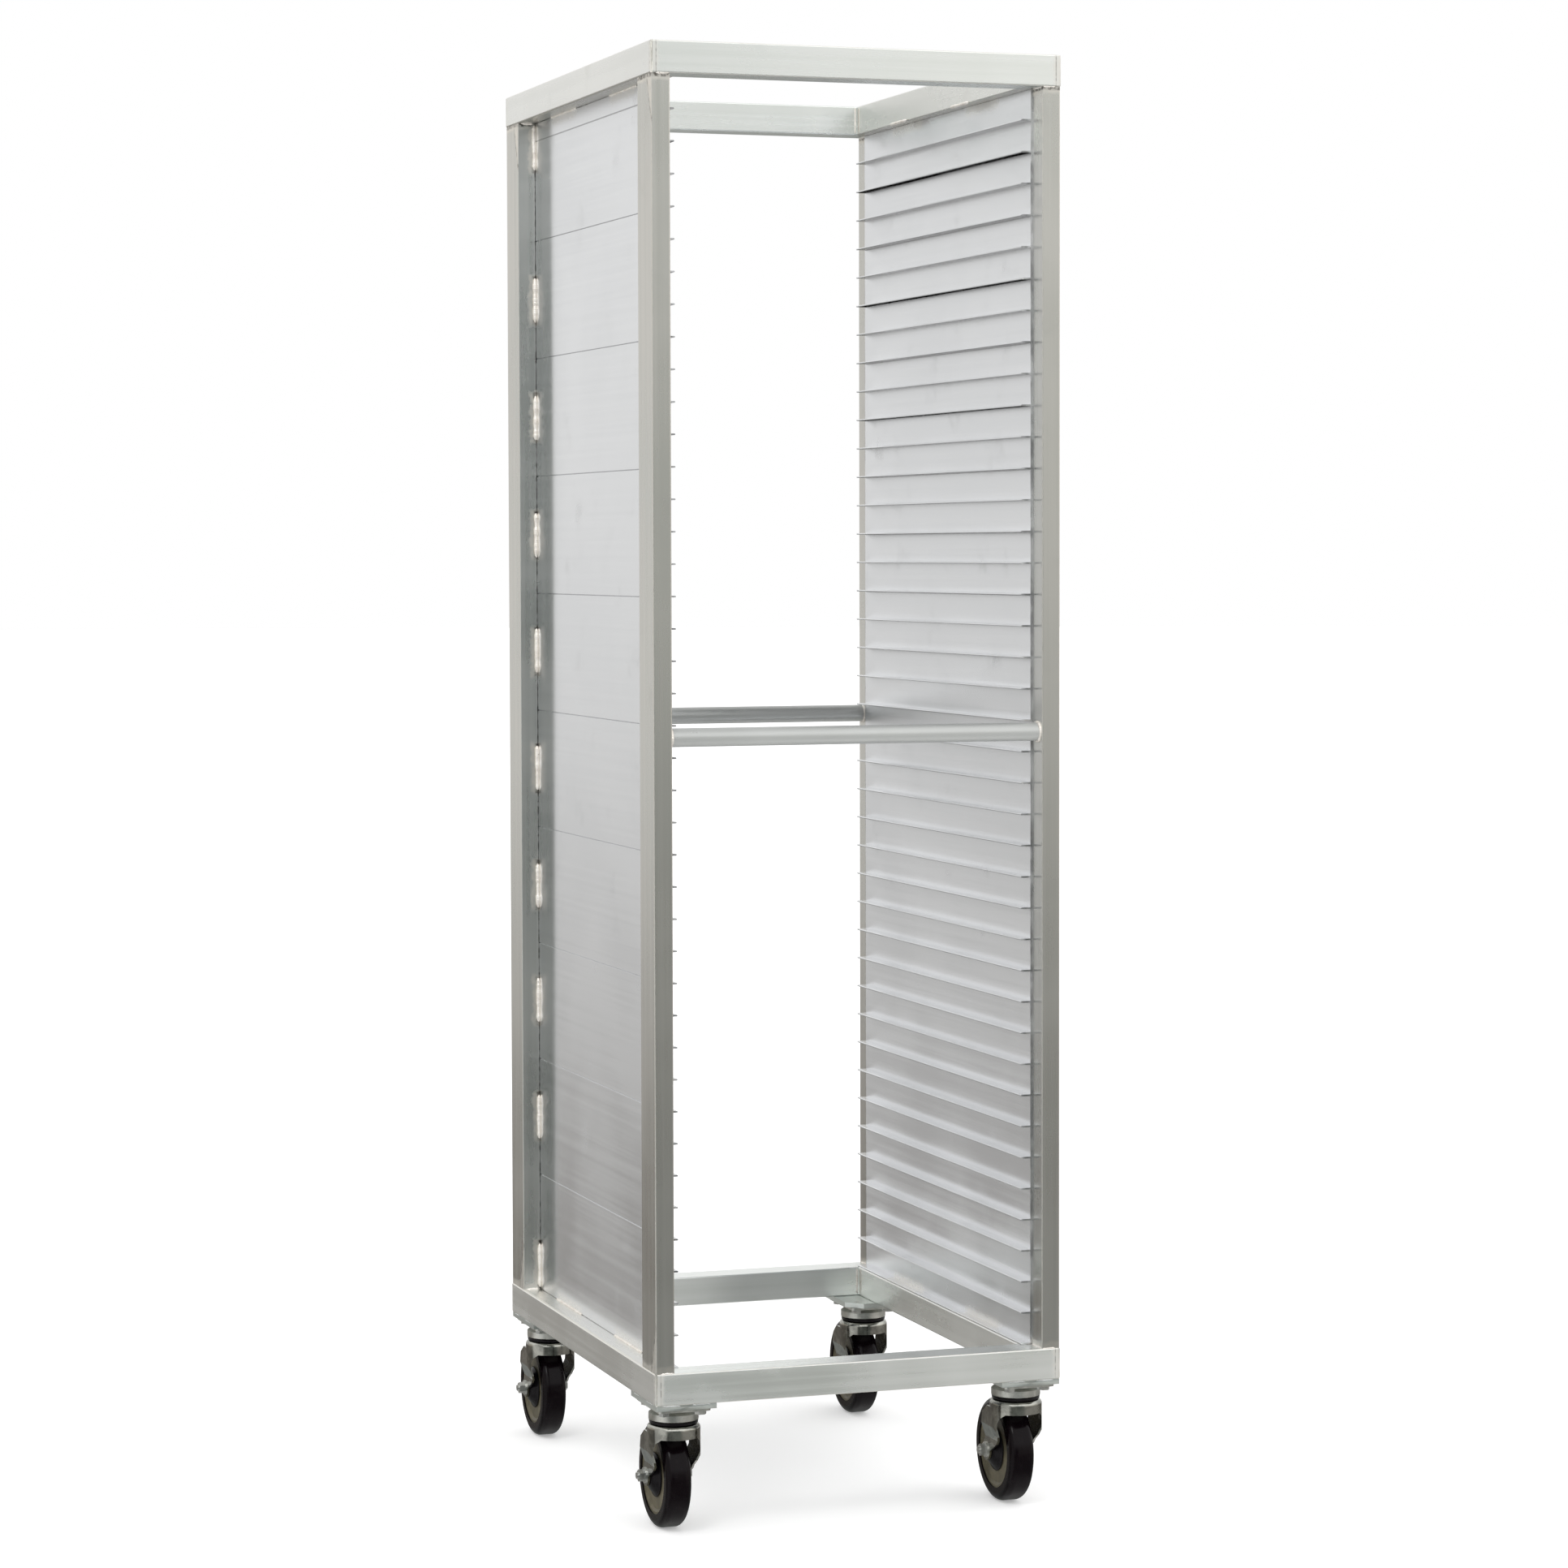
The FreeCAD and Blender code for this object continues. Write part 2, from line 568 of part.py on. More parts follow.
def tyre(label, side, end):
    """The wheel's rubber tread, round shouldered."""
    body = new_body(label)
    section = new_sketch(body, label + "_section", "XZ_Plane")
    add_rectangle(section, "-wheel_width / 2", "wheel_width / 2", "core_radius", "wheel_radius")
    revolve(body, section, "H_Axis")
    rim = size("wheel_radius")

    def shoulder(edge):
        return isinstance(edge.Curve, Part.Circle) and near(edge.Curve.Radius, rim)

    dress(body, "Fillet", "tread_round", shoulder)
    place(body, swivel_x(side), wheel_y(end), "wheel_radius")


rail_frame("top", "top_rail_base")
rail_frame("bottom", "caster_height")
for corner, side, end in CORNERS:
    upright("upright_" + corner, side, end)
for side_name, side in (("left", -1), ("right", 1)):
    for level in range(int(size("planks_per_side"))):
        plank(f"{side_name}_plank_{level + 1:02d}", side, level)
for end_name, end in (("front", -1), ("rear", 1)):
    cross_bar(end_name + "_cross_bar", end)
for corner, side, end in CORNERS:
    corner_plate("corner_plate_" + corner, side, end)
    caster_plate("caster_plate_" + corner, side, end)
    fork("fork_" + corner, side, end)
    axle(corner, side, end)
    wheel_core("wheel_core_" + corner, side, end)
    tyre("tyre_" + corner, side, end)
mount_bolts()
kingpins()
doc.recompute()

for thing in doc.Objects:
    if "Invalid" in thing.State or "Error" in thing.State:
        raise RuntimeError(f"{thing.Label} did not recompute: {thing.State}")

os.makedirs("parts", exist_ok=True)
for thing in nodes:
    if thing.Shape.isNull() or not thing.Shape.isValid():
        raise RuntimeError(f"{thing.Label} has no valid shape")
    thing.Shape.exportStep(f"parts/{thing.Label}.step")
print(len(nodes), "sub-parts written")
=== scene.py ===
"""Looks of a welded aluminium sheet pan rack: materials, welds, caster details, light and camera."""
import math

import bmesh
import bpy
from mathutils import Matrix, Vector, noise


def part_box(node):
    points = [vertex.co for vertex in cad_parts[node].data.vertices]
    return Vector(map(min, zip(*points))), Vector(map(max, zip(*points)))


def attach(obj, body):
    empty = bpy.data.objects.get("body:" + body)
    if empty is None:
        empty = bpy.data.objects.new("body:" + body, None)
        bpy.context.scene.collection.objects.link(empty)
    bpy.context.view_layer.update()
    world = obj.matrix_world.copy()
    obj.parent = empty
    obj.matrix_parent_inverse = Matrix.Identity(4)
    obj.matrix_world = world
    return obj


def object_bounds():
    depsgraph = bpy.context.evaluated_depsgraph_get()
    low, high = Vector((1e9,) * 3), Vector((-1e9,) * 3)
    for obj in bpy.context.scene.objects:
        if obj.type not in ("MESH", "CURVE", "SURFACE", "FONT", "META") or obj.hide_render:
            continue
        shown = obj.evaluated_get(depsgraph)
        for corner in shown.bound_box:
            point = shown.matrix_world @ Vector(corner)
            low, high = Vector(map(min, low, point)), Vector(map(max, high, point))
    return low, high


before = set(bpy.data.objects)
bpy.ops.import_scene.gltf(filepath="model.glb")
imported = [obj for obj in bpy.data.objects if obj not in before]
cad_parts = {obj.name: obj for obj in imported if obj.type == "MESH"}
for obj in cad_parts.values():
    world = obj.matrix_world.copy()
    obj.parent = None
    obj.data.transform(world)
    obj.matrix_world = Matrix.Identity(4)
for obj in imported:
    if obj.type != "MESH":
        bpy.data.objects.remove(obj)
cad_low, cad_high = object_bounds()
MM = 0.001
CORNERS = ("front_left", "front_right", "rear_left", "rear_right")

# ------------------------------------------------------------------ places, all read from the frame

front_rail_low, front_rail_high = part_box("bottom_front_rail")
rear_rail_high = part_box("bottom_rear_rail")[1]
top_rail_low, top_rail_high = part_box("top_front_rail")
post_low, post_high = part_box("upright_front_left")
plank_low, plank_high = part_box("left_plank_01")
caster_low, caster_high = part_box("caster_plate_front_right")
HALF_WIDTH = front_rail_high.x
FRONT = front_rail_low.y
REAR = rear_rail_high.y
MIDDLE = (FRONT + REAR) / 2
BOTTOM = (front_rail_low.z, front_rail_high.z)
TOP = (top_rail_low.z, top_rail_high.z)
RAIL_DEPTH = front_rail_high.y - front_rail_low.y
POST_SIDE = -post_low.x
POST_DEPTH = post_high.y - FRONT
SEAT = -plank_low.x
SWIVEL_X = (caster_low.x + caster_high.x) / 2
PLANK_HEIGHT = plank_high.z - plank_low.z
PLANKS = round((TOP[0] - BOTTOM[1]) / PLANK_HEIGHT)
PLANK_ENDS = (plank_low.y, plank_high.y)

# The top plank's hem is this far below the top frame.
HEM = 23.5 * MM

# One stitch joins each plank to an upright. The first and the last are shifted towards the frames.
STITCH_LENGTH = 58 * MM
END_SHIFT = (PLANK_HEIGHT - STITCH_LENGTH) / 2 - 2.5 * MM

# The stitches along the side rails, as shares of the depth behind the rack's middle.
RAIL_STITCHES = (0.20, -0.205)
RAIL_STITCH_LENGTH = 115 * MM

# The ground triangle at each end of an upright's outer face.
GROUND_HEIGHT = 58 * MM
GROUND_WIDTH = 20 * MM

# A dark joint line fades in between these distances from the joint.
JOINT_LINE = (0.9 * MM, 0.4 * MM)

# Heat marks waver by this much in all.
WAVER = 12 * MM


# ------------------------------------------------------------------ material kit

class Graph:
    """A node tree put together from small steps, with the coordinates that its textures use."""

    def __init__(self, tree, coordinates):
        self.tree = tree
        self.position = self.node("ShaderNodeTexCoord").outputs[coordinates]
        parts = self.node("ShaderNodeSeparateXYZ")
        self.tree.links.new(self.position, parts.inputs[0])
        self.x, self.y, self.z = parts.outputs

    def node(self, kind, **settings):
        """A new node with some of its settings changed."""
        made = self.tree.nodes.new(kind)
        for name, value in settings.items():
            setattr(made, name, value)
        return made

    def feed(self, socket, value):
        """Link a socket to another, or set it to a constant."""
        if isinstance(value, bpy.types.NodeSocket):
            self.tree.links.new(value, socket)
        else:
            socket.default_value = value

    def noise(self, scale, stretch=(1, 1, 1), detail=3.0, roughness=0.55, distortion=0.0):
        """Noise of a given number of features per metre, stretched by a factor along each axis."""
        mapping = self.node("ShaderNodeMapping")
        self.feed(mapping.inputs["Vector"], self.position)
        mapping.inputs["Scale"].default_value = stretch
        made = self.node("ShaderNodeTexNoise")
        self.feed(made.inputs["Vector"], mapping.outputs[0])
        for socket, value in (("Scale", scale), ("Detail", detail), ("Roughness", roughness),
                              ("Distortion", distortion)):
            made.inputs[socket].default_value = value
        return made.outputs["Fac"]

    def math(self, operation, first, second=0.0):
        """One step of arithmetic."""
        made = self.node("ShaderNodeMath", operation=operation)
        self.feed(made.inputs[0], first)
        self.feed(made.inputs[1], second)
        return made.outputs[0]

    def apart(self, first, second):
        """The distance between two values."""
        return self.math("ABSOLUTE", self.math("SUBTRACT", first, second))

    def fade(self, value, start, end, low=0.0, high=1.0):
        """A smooth step of a value: low at start, high at end."""
        made = self.node("ShaderNodeMapRange", interpolation_type="SMOOTHSTEP")
        for socket, amount in zip(made.inputs, (value, start, end, low, high)):
            self.feed(socket, amount)
        return made.outputs[0]

    def blend(self, factor, first, second):
        """A colour between two colours."""
        made = self.node("ShaderNodeMix", data_type="RGBA")
        self.feed(made.inputs[0], factor)
        for socket, colour in ((made.inputs[6], first), (made.inputs[7], second)):
            linked = isinstance(colour, bpy.types.NodeSocket)
            self.feed(socket, colour if linked else (*colour, 1.0))
        return made.outputs[2]

    def bump(self, height, strength, distance, under=None):
        """A normal tilted by the slope of a height, on top of another normal."""
        made = self.node("ShaderNodeBump")
        self.feed(made.inputs["Height"], height)
        made.inputs["Strength"].default_value = strength
        made.inputs["Distance"].default_value = distance
        if under is not None:
            self.feed(made.inputs["Normal"], under)
        return made.outputs[0]


class Look(Graph):
    """A node material. Its coordinates are the rack's own, in metres."""

    def __init__(self, name, grain=None, **constants):
        self.material = bpy.data.materials.new(name)
        self.material.use_nodes = True
        super().__init__(self.material.node_tree, "Object")
        self.shader = self.tree.nodes["Principled BSDF"]
        for socket, value in constants.items():
            self.shader.inputs[socket.replace("_", " ")].default_value = value
        if grain is not None:
            tangent = self.node("ShaderNodeTangent", direction_type="RADIAL", axis=grain.upper())
            self.feed(self.shader.inputs["Tangent"], tangent.outputs[0])

    def finish(self, colour, roughness, normal=None):
        """Feed the shader, and give back the material."""
        self.feed(self.shader.inputs["Base Color"], colour)
        self.feed(self.shader.inputs["Roughness"], roughness)
        if normal is not None:
            self.feed(self.shader.inputs["Normal"], normal)
        return self.material


# ------------------------------------------------------------------ aluminium

# Noise stretched by these factors makes fine lines along an axis.
GRAIN = {"x": (0.012, 1.0, 1.0), "y": (1.0, 0.012, 1.0), "z": (1.0, 1.0, 0.012)}

BRUSHED_AND_HIGHLIGHT = (0.93, 0.90, 0.84)
SOOT_AND_SHADOW = (0.12, 0.11, 0.10)
WELD_SOOT = (0.16, 0.13, 0.11)
SEAM = (0.16, 0.16, 0.17)
FORK_INNER_SHADE = (0.012, 0.010, 0.010)


def aluminium(name, grain, dark, light, gloss=(0.30, 0.38), stretch=0.75, haze=None, seams=False,
              metallic=1.0):
    """Mill-finish aluminium extrusion: die lines along the grain, clouded tone, faint handling marks.

    haze(look) gives two masks, from 0 to 1: where the metal is brushed or lighter along its edges (on
    the uprights a painted highlight), and where it is sooty (on the uprights also a painted shadow under
    the top frame).
    seams draws the joints between planks, and gives each plank a slightly different tone.
    """
    look = Look(name, grain, Metallic=metallic, Anisotropic=stretch)
    coarse = look.noise(90.0, GRAIN[grain], detail=4.0)
    cloud = look.noise(3.5, detail=3.0, roughness=0.5, distortion=0.4)
    marks = look.noise(16.0, detail=4.0, roughness=0.6)
    tone = look.math("ADD", look.math("MULTIPLY", cloud, 0.6), look.math("MULTIPLY", coarse, 0.4))
    if seams:
        tone = look.math("ADD", tone, plank_tone(look))
    colour = look.blend(look.fade(tone, 0.36, 0.64), dark, light)
    stain = look.fade(marks, 0.60, 0.80, 0.0, 0.16)
    colour = look.blend(stain, colour, [0.80 * c for c in dark])
    rough = look.fade(tone, 0.36, 0.64, *gloss)
    rough = look.math("ADD", rough, look.fade(marks, 0.55, 0.80, 0.0, 0.05))
    if haze is not None:
        mask, dark_marks = haze(look)
        ragged = look.fade(look.noise(240.0, detail=3.0), 0.25, 0.6, 0.55, 1.0)
        mask = look.math("MULTIPLY", mask, ragged)
        # The pale mask holds brushed metal and, on the uprights, a painted highlight along their edges.
        colour = look.blend(look.math("MULTIPLY", mask, 0.75), colour, BRUSHED_AND_HIGHLIGHT)
        rough = look.math("ADD", rough, look.math("MULTIPLY", mask, 0.12))
        blots = look.fade(look.noise(170.0, detail=3.0), 0.42, 0.62, 0.25, 0.9)
        # The dark mask holds soot and, on the uprights, a painted shadow at their heads under the top
        # frame.
        colour = look.blend(look.math("MULTIPLY", dark_marks, blots), colour, SOOT_AND_SHADOW)
    normal = look.bump(look.noise(500.0, GRAIN[grain], detail=2.0), 0.04, 0.1 * MM)
    normal = look.bump(cloud, 0.05, 2.0 * MM, normal)
    if seams:
        line = plank_lines(look)
        colour = look.blend(look.math("MULTIPLY", line, 0.62), colour, SEAM)
        normal = look.bump(line, 0.5, -0.3 * MM, normal)
    return look.finish(colour, rough, normal)


def plank_levels(look):
    """How many planks lie below a place."""
    return look.math("DIVIDE", look.math("SUBTRACT", look.z, BOTTOM[1]), PLANK_HEIGHT)


def plank_tone(look):
    """A small shift of tone, different for each plank."""
    which = look.math("FLOOR", look.math("ADD", plank_levels(look), 0.0005))
    shade = look.node("ShaderNodeTexWhiteNoise", noise_dimensions="1D")
    look.feed(shade.inputs["W"], which)
    return look.math("MULTIPLY", look.math("SUBTRACT", shade.outputs["Value"], 0.5), 0.07)


def plank_lines(look):
    """A mask of the joints between planks, the top plank's hem, and the planks' dark end edges."""
    share = look.math("FRACT", look.math("ADD", plank_levels(look), 0.5))
    off = look.math("MULTIPLY", look.apart(share, 0.5), PLANK_HEIGHT)
    joint = look.math("MULTIPLY", look.fade(off, 0.8 * MM, 0.3 * MM), 0.5)
    above = look.apart(look.z, TOP[0] - HEM)
    hem = look.math("MULTIPLY", look.fade(above, 1.0 * MM, 0.5 * MM), outside_planks(look))
    from_end = look.math("MINIMUM", look.math("SUBTRACT", look.y, PLANK_ENDS[0]),
                         look.math("SUBTRACT", PLANK_ENDS[1], look.y))
    edge_mark = look.fade(look.noise(60.0, (1, 1, 0.5)), 0.40, 0.60, 0.3, 1.0)
    rim = look.math("MULTIPLY", look.fade(from_end, 1.9 * MM, 0.6 * MM), edge_mark)
    return look.math("MAXIMUM", look.math("MAXIMUM", joint, hem), rim)


def from_centre(look):
    """The distance to the plane between the rack's left and right halves."""
    return look.math("ABSOLUTE", look.x)


def outside_planks(look):
    """A mask of what lies on the planks' outer faces or beyond them."""
    return look.math("GREATER_THAN", from_centre(look), SEAT - 0.3 * MM)


def from_rails(look):
    """The distance to the nearer of the two frames, along an upright."""
    low = look.math("SUBTRACT", look.z, BOTTOM[1])
    high = look.math("SUBTRACT", TOP[0], look.z)
    return look.math("MINIMUM", low, high)


def from_post_joint(look):
    """The distance to the nearer joint line of an upright and the planks, on either one's face."""
    along = look.apart(look.apart(look.y, MIDDLE), (REAR - FRONT) / 2 - POST_DEPTH)
    return look.math("MAXIMUM", along, look.math("SUBTRACT", from_centre(look), SEAT))


def stitch_haze(look):
    """Pale metal, and soot, beside the stitch welds that run up the joints of uprights and planks."""
    joint = from_post_joint(look)
    outside = outside_planks(look)
    levels = plank_levels(look)
    first = look.math("LESS_THAN", levels, 1.0)
    last = look.math("GREATER_THAN", levels, PLANKS - 1.0)
    shift = look.math("MULTIPLY", look.math("SUBTRACT", last, first), END_SHIFT / PLANK_HEIGHT)
    centre = look.math("ADD", shift, 0.5)
    off = look.math("MULTIPLY", look.apart(look.math("FRACT", levels), centre), PLANK_HEIGHT)
    waver = look.math("MULTIPLY", look.math("SUBTRACT", look.noise(90.0), 0.5), WAVER)
    off = look.math("ADD", off, waver)
    along = look.fade(off, STITCH_LENGTH / 2 + 7 * MM, STITCH_LENGTH / 2 + 1 * MM)
    across = look.fade(look.math("ADD", joint, waver), 11 * MM, 7 * MM)
    mask = look.math("MULTIPLY", look.math("MULTIPLY", across, along), outside)
    tips = look.fade(look.apart(off, STITCH_LENGTH / 2), 5 * MM, 2 * MM)
    dark_marks = look.math("MULTIPLY", look.fade(joint, 6 * MM, 2 * MM), tips)
    line = look.fade(joint, *JOINT_LINE)
    return mask, look.math("MULTIPLY", look.math("MAXIMUM", dark_marks, line), outside)


def plank_haze(look):
    """The stitch welds' marks, and the longer ones where the planks meet the side rails."""
    mask, dark_marks = stitch_haze(look)
    patch, line = rail_stitch_marks(look, from_rails(look))
    return look.math("MAXIMUM", mask, patch), look.math("MAXIMUM", dark_marks, line)


def rail_stitch_marks(look, distance):
    """Pale patches beside the stitches between planks and side rails, and the dark joint line."""
    patch = None
    for share in RAIL_STITCHES:
        off = look.apart(look.y, MIDDLE + share * (REAR - FRONT))
        along = look.fade(off, RAIL_STITCH_LENGTH / 2 + 8 * MM, RAIL_STITCH_LENGTH / 2 - 12 * MM)
        patch = along if patch is None else look.math("MAXIMUM", patch, along)
    near = look.fade(distance, 16 * MM, 5 * MM, 0.0, 0.7)
    line = look.fade(distance, *JOINT_LINE)
    return look.math("MULTIPLY", patch, near), look.math("MULTIPLY", line, 0.7)


def post_marks_and_painted_light(look):
    """A painted highlight along an upright's edges, its stitches, its ground welds, which taper away
    from the rails, and a painted shadow at its head under the top frame.
    """
    behind = look.math("MULTIPLY", look.math("GREATER_THAN", look.y, MIDDLE), REAR - POST_DEPTH - FRONT)
    from_edge = look.math("SUBTRACT", look.math("SUBTRACT", look.y, FRONT), behind)
    from_end = from_rails(look)
    waver = look.math("MULTIPLY", look.math("SUBTRACT", look.noise(60.0, detail=4.0), 0.5), 0.9)
    slope = look.math("ADD", look.math("DIVIDE", from_end, GROUND_HEIGHT),
                      look.math("DIVIDE", from_edge, GROUND_WIDTH))
    outer = look.math("GREATER_THAN", from_centre(look), POST_SIDE - 1 * MM)
    wedge = look.math("MULTIPLY", look.fade(look.math("ADD", slope, waver), 1.15, 0.9), outer)
    ends = look.fade(look.math("ADD", look.math("DIVIDE", from_end, 9 * MM), waver), 1.1, 0.6)
    mask, dark_marks = stitch_haze(look)
    # Painted shadow: a dark band at the head of each upright, under the top frame; the foot gets none.
    wavy_end = look.math("ADD", from_end, look.math("MULTIPLY", waver, 4 * MM))
    upper_half = look.math("GREATER_THAN", look.z, (BOTTOM[1] + TOP[0]) / 2)
    rim = look.math("MULTIPLY", look.fade(wavy_end, 5.5 * MM, 3 * MM), upper_half)
    edge = look.math("MULTIPLY", look.fade(look.apart(slope, 1.0), 0.12, 0.03), outer)
    dark_marks = look.math("MAXIMUM", dark_marks, look.math("MAXIMUM", rim, look.math("MULTIPLY", edge, 0.6)))
    mask = look.math("MAXIMUM", mask, look.math("MAXIMUM", ends, wedge))
    # Painted highlight: the metal is lighter along the upright's edges.
    from_face = look.math("SUBTRACT", (REAR - FRONT) / 2 - 1 * MM, look.apart(look.y, MIDDLE))
    across = from_centre(look)
    from_sides = look.math("MINIMUM", look.apart(across, POST_SIDE), look.apart(across, SEAT))
    edge_mark = look.fade(look.math("MAXIMUM", from_sides, from_face), 1.7 * MM, 0.9 * MM)
    return look.math("MAXIMUM", mask, edge_mark), dark_marks


def rail_haze(look):
    """Brushed metal at the corners of the frames, and lighter metal along the rails' outer edges."""
    from_side = look.math("SUBTRACT", HALF_WIDTH, from_centre(look))
    from_end = look.math("SUBTRACT", (REAR - FRONT) / 2, look.apart(look.y, MIDDLE))
    corner = look.math("MAXIMUM", from_side, from_end)
    ragged = look.math("ADD", corner, look.math("MULTIPLY", look.noise(70.0), -10 * MM))
    line = look.math("MULTIPLY", look.fade(corner, 5.2 * MM, 4.6 * MM),
                     look.fade(corner, 3.4 * MM, 4.0 * MM))
    brushed = look.fade(ragged, 5 * MM, -1 * MM, 0.0, 0.8)
    from_edge = None
    for level in (*TOP, *BOTTOM):
        off = look.apart(look.z, level)
        from_edge = off if from_edge is None else look.math("MINIMUM", from_edge, off)
    from_face = look.math("MINIMUM", from_side, from_end)
    edge_mark = look.fade(look.math("MAXIMUM", from_edge, from_face), 1.5 * MM, 0.8 * MM)
    return look.math("MAXIMUM", brushed, edge_mark), look.math("MULTIPLY", line, 0.6)


def weld_metal(name, dark, light):
    """Aluminium weld: satin ripples with soot in the hollows."""
    look = Look(name, Metallic=0.6)
    dark_marks = look.noise(420.0, detail=5.0, roughness=0.7)
    tone = look.noise(90.0, detail=3.0)
    colour = look.blend(look.fade(tone, 0.3, 0.7), dark, light)
    colour = look.blend(look.fade(dark_marks, 0.60, 0.72), colour, WELD_SOOT)
    rough = look.fade(dark_marks, 0.35, 0.75, 0.36, 0.65)
    normal = look.bump(look.noise(900.0, detail=4.0), 0.35, 0.25 * MM)
    return look.finish(colour, rough, normal)


# ------------------------------------------------------------------ the casters' materials

def inside_fork(look):
    """A mask of the fork's faces that look towards its wheel, which painted shade darkens."""
    facing = look.node("ShaderNodeSeparateXYZ")
    look.feed(facing.inputs[0], look.node("ShaderNodeTexCoord").outputs["Normal"])
    beyond = look.math("SIGN", look.math("SUBTRACT", from_centre(look), SWIVEL_X))
    outward = look.math("MULTIPLY", beyond, look.math("SIGN", look.x))
    return look.fade(look.math("MULTIPLY", facing.outputs[0], outward), -0.2, -0.6)


def plated_steel(name, dark, light, gloss, shade=None):
    """Zinc-plated pressed steel: clear plating with a faint warm tint, mottled and lightly marked.

    shade(look) gives a mask, from 0 to 1, of where painted shade turns the plating near black.
    """
    look = Look(name, Metallic=1.0)
    mottle = look.noise(55.0, detail=5.0, roughness=0.65, distortion=0.4)
    spots = look.noise(330.0, detail=3.0)
    colour = look.blend(look.fade(mottle, 0.35, 0.66), dark, light)
    colour = look.blend(look.fade(spots, 0.62, 0.78, 0.0, 0.5), colour, [0.55 * c for c in dark])
    rough = look.math("ADD", look.fade(mottle, 0.3, 0.7, *gloss),
                      look.fade(spots, 0.55, 0.8, 0.0, 0.15))
    if shade is not None:
        # Painted shade: where the mask is set the plating turns near black, for the dark wheel that
        # these faces mirror.
        shaded = shade(look)
        colour = look.blend(shaded, colour, FORK_INNER_SHADE)
        rough = look.math("ADD", rough, look.math("MULTIPLY", shaded, 0.10))
    normal = look.bump(mottle, 0.12, 0.4 * MM)
    normal = look.bump(spots, 0.10, 0.1 * MM, normal)
    return look.finish(colour, rough, normal)


def tread_rubber():
    """Hard black rubber, glossy where it is clean, with scuffs and dust around its rolling face."""
    clean = (0.0035, 0.0020, 0.0028)
    dusty = (0.008, 0.006, 0.007)
    look = Look("tread_rubber", Specular_IOR_Level=0.10)
    dust = look.noise(70.0, detail=6.0, roughness=0.7)
    scuff = look.noise(240.0, (0.15, 1.0, 1.0), detail=4.0)
    colour = look.blend(look.fade(dust, 0.5, 0.8), clean, dusty)
    colour = look.blend(look.fade(scuff, 0.66, 0.82, 0.0, 0.3), colour, (0.035, 0.031, 0.031))
    rough = look.math("ADD", look.fade(dust, 0.35, 0.75, 0.12, 0.24),
                      look.fade(scuff, 0.5, 0.8, 0.0, 0.2))
    normal = look.bump(look.noise(420.0, detail=3.0), 0.10, 0.1 * MM)
    return look.finish(colour, rough, normal)


def moulded_plastic(name, dark, light, gloss, specular):
    """Moulded plastic with slight flow marks and a fine grain."""
    look = Look(name, Specular_IOR_Level=specular)
    flow = look.noise(46.0, detail=4.0, distortion=1.2)
    grain = look.noise(1300.0, detail=2.0)
    colour = look.blend(look.fade(flow, 0.3, 0.7), dark, light)
    rough = look.fade(flow, 0.3, 0.7, *gloss)
    normal = look.bump(grain, 0.2, 0.08 * MM)
    return look.finish(colour, rough, normal)


# ------------------------------------------------------------------ materials of the CAD nodes

LOOKS = {
    "rail_x": aluminium("rail_aluminium_x", "x", (0.80, 0.83, 0.80), (0.90, 0.92, 0.90),
                        gloss=(0.24, 0.30), stretch=0.95, haze=rail_haze),
    "rail_y": aluminium("rail_aluminium_y", "y", (0.79, 0.79, 0.76), (0.88, 0.88, 0.85),
                        gloss=(0.24, 0.30), stretch=0.95, haze=rail_haze),
    "post": aluminium("upright_aluminium", "z", (0.67, 0.68, 0.65), (0.79, 0.79, 0.76),
                      gloss=(0.25, 0.32), stretch=0.95, haze=post_marks_and_painted_light),
    "plank": aluminium("plank_aluminium", "y", (0.76, 0.77, 0.79), (0.85, 0.86, 0.88),
                       gloss=(0.20, 0.25), stretch=1.0, haze=plank_haze, seams=True),
    "bar": aluminium("bar_aluminium", "x", (0.40, 0.41, 0.40), (0.47, 0.48, 0.47),
                     gloss=(0.26, 0.32), stretch=0.5, metallic=0.35),
    "corner_plate": aluminium("corner_plate_aluminium", "y", (0.60, 0.64, 0.62), (0.74, 0.78, 0.75)),
    "caster_plate": plated_steel("plate_zinc", (0.50, 0.51, 0.48), (0.68, 0.68, 0.64), (0.30, 0.46)),
    "fork": plated_steel("fork_zinc", (0.24, 0.24, 0.22), (0.44, 0.44, 0.40), (0.10, 0.20), inside_fork),
    "fastener": plated_steel("fastener_zinc", (0.46, 0.47, 0.46), (0.66, 0.66, 0.63), (0.24, 0.40)),
    "core": moulded_plastic("core_plastic", (0.075, 0.068, 0.044), (0.13, 0.115, 0.076),
                            (0.34, 0.48), 0.20),
    "cover": moulded_plastic("cover_plastic", (0.004, 0.003, 0.004), (0.008, 0.007, 0.008),
                             (0.16, 0.28), 0.12),
    "tyre": tread_rubber(),
    "weld": weld_metal("weld_metal", (0.80, 0.75, 0.69), (0.95, 0.92, 0.87)),
    "grey_weld": weld_metal("grey_weld_metal", (0.42, 0.44, 0.43), (0.60, 0.62, 0.61)),
}


def look_for(node):
    """The material that a CAD node takes, from its name."""
    if node.endswith("_rail"):
        return LOOKS["rail_x" if "front" in node or "rear" in node else "rail_y"]
    for part, look in (("upright", "post"), ("plank", "plank"), ("cross_bar", "bar"),
                       ("corner_plate", "corner_plate"), ("caster_plate", "caster_plate"),
                       ("fork", "fork"), ("wheel_core", "core"), ("tyre", "tyre")):
        if part in node:
            return LOOKS[look]
    return LOOKS["fastener"]


for node_name, node_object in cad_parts.items():
    node_object.data.materials.clear()
    node_object.data.materials.append(look_for(node_name))


# ------------------------------------------------------------------ mesh kit

